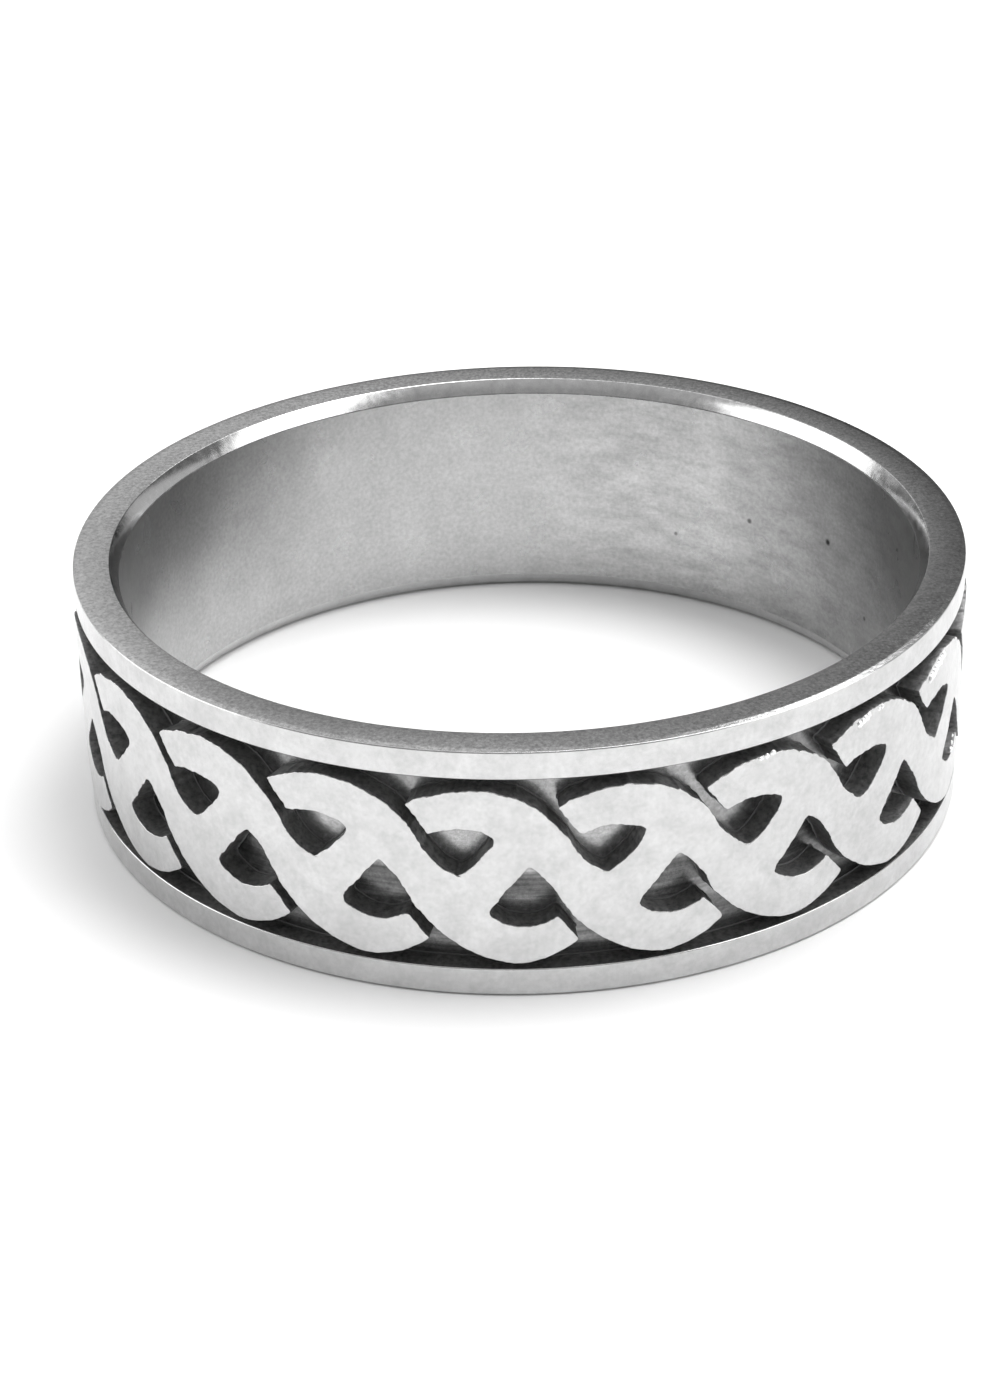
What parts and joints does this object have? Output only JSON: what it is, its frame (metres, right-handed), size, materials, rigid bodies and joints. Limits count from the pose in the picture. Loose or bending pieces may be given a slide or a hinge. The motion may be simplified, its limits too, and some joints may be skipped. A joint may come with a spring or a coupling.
{
  "type": "braid pattern band ring",
  "caption": "Flat finger ring with plain rims and a flat-topped braid in relief in a darkened channel, and a smooth bore with chamfered ends.",
  "frame": {"origin": "centre of the lower face, on the ring's axis; the ring lies on its side on Z = 0", "axes": "+Z along the ring's axis, up out of the bore; -Y towards the front of the braid, +X to the right of it"},
  "size_m": [0.021, 0.021, 0.006],
  "materials": {
    "silver": "satin silver, polished rims and braid, darkened channel"
  },
  "bodies": {
    "root": {"band": "silver"}
  },
  "joints": []
}
